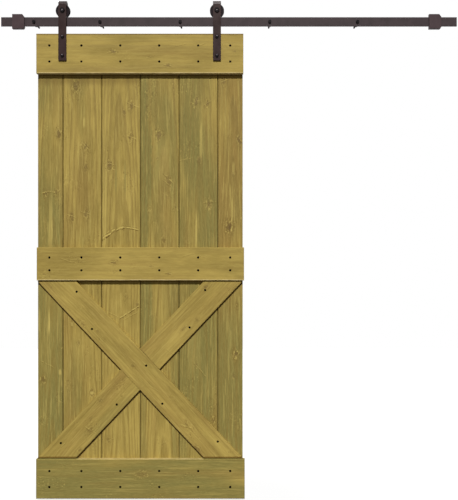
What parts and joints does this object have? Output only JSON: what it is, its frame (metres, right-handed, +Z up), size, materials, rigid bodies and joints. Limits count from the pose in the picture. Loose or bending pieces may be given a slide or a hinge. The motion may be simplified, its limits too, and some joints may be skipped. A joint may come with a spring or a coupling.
{
  "type": "sliding barn door",
  "caption": "Braced plank door hung by two bent straps on grooved wheels that roll along a flat wall rail with end stops.",
  "frame": {"origin": "where the rail's middle wall fixing meets the wall's face, on the line of the rail's screws", "axes": "+X along the rail to the right seen from the front, +Y into the wall, +Z up"},
  "size_m": [2, 0.11, 2.1818],
  "materials": {
    "rail_steel": "matt powder coat",
    "strap_steel": "matt powder coat",
    "fixing_steel": "matt powder coat",
    "wheel_steel": "satin powder coat, worn on the tread",
    "bearing_steel": "ground",
    "ball_steel": "polished",
    "screw_steel": "black",
    "plank_pine": "stained olive, knotty",
    "board_pine": "stained olive, knotty",
    "brace_pine": "stained olive, knotty"
  },
  "bodies": {
    "rail": {"rail_bar": "rail_steel", "rail_spacers": "rail_steel", "lag_screws": "fixing_steel", "end_stop_left": "rail_steel", "end_stop_right": "rail_steel", "stop_grub_screws": "fixing_steel"},
    "door": {"plank_1": "plank_pine", "plank_2": "plank_pine", "plank_3": "plank_pine", "plank_4": "plank_pine", "plank_5": "plank_pine", "plank_6": "plank_pine", "cross_board_top": "board_pine", "cross_board_middle": "board_pine", "cross_board_bottom": "board_pine", "brace_long": "brace_pine", "brace_upper_half": "brace_pine", "brace_lower_half": "brace_pine", "top_board_screws": "screw_steel", "middle_board_screws": "screw_steel", "bottom_board_screws": "screw_steel", "brace_screws": "screw_steel", "hanger_strap_left": "strap_steel", "hanger_strap_right": "strap_steel", "strap_bolts": "fixing_steel", "strap_sleeve_nuts": "fixing_steel", "axle_bolts": "fixing_steel", "axle_nuts": "fixing_steel", "axle_sleeves": "bearing_steel", "bearing_inner_rings": "bearing_steel"},
    "left_wheel": {"wheel_left": "wheel_steel", "bearing_outer_ring_left": "bearing_steel", "bearing_balls_left": "ball_steel", "bearing_cage_left": "bearing_steel"},
    "right_wheel": {"wheel_right": "wheel_steel", "bearing_outer_ring_right": "bearing_steel", "bearing_balls_right": "ball_steel", "bearing_cage_right": "bearing_steel"}
  },
  "joints": [
    {"name": "door_slide", "type": "slide", "parent": "rail", "child": "door", "axis": [1, 0, 0], "range_m": [-0.1495, 0.9022]},
    {"name": "left_wheel_spin", "type": "hinge", "parent": "door", "child": "left_wheel", "pos_m": [-0.5145, -0.038, 0.0472], "axis": [0, 1, 0], "continuous": true},
    {"name": "right_wheel_spin", "type": "hinge", "parent": "door", "child": "right_wheel", "pos_m": [0.1615, -0.038, 0.0472], "axis": [0, 1, 0], "continuous": true}
  ],
  "couplings": [
    {"joint": "left_wheel_spin", "follows": "door_slide", "rad_per_m": 37.037},
    {"joint": "right_wheel_spin", "follows": "door_slide", "rad_per_m": 37.037}
  ]
}
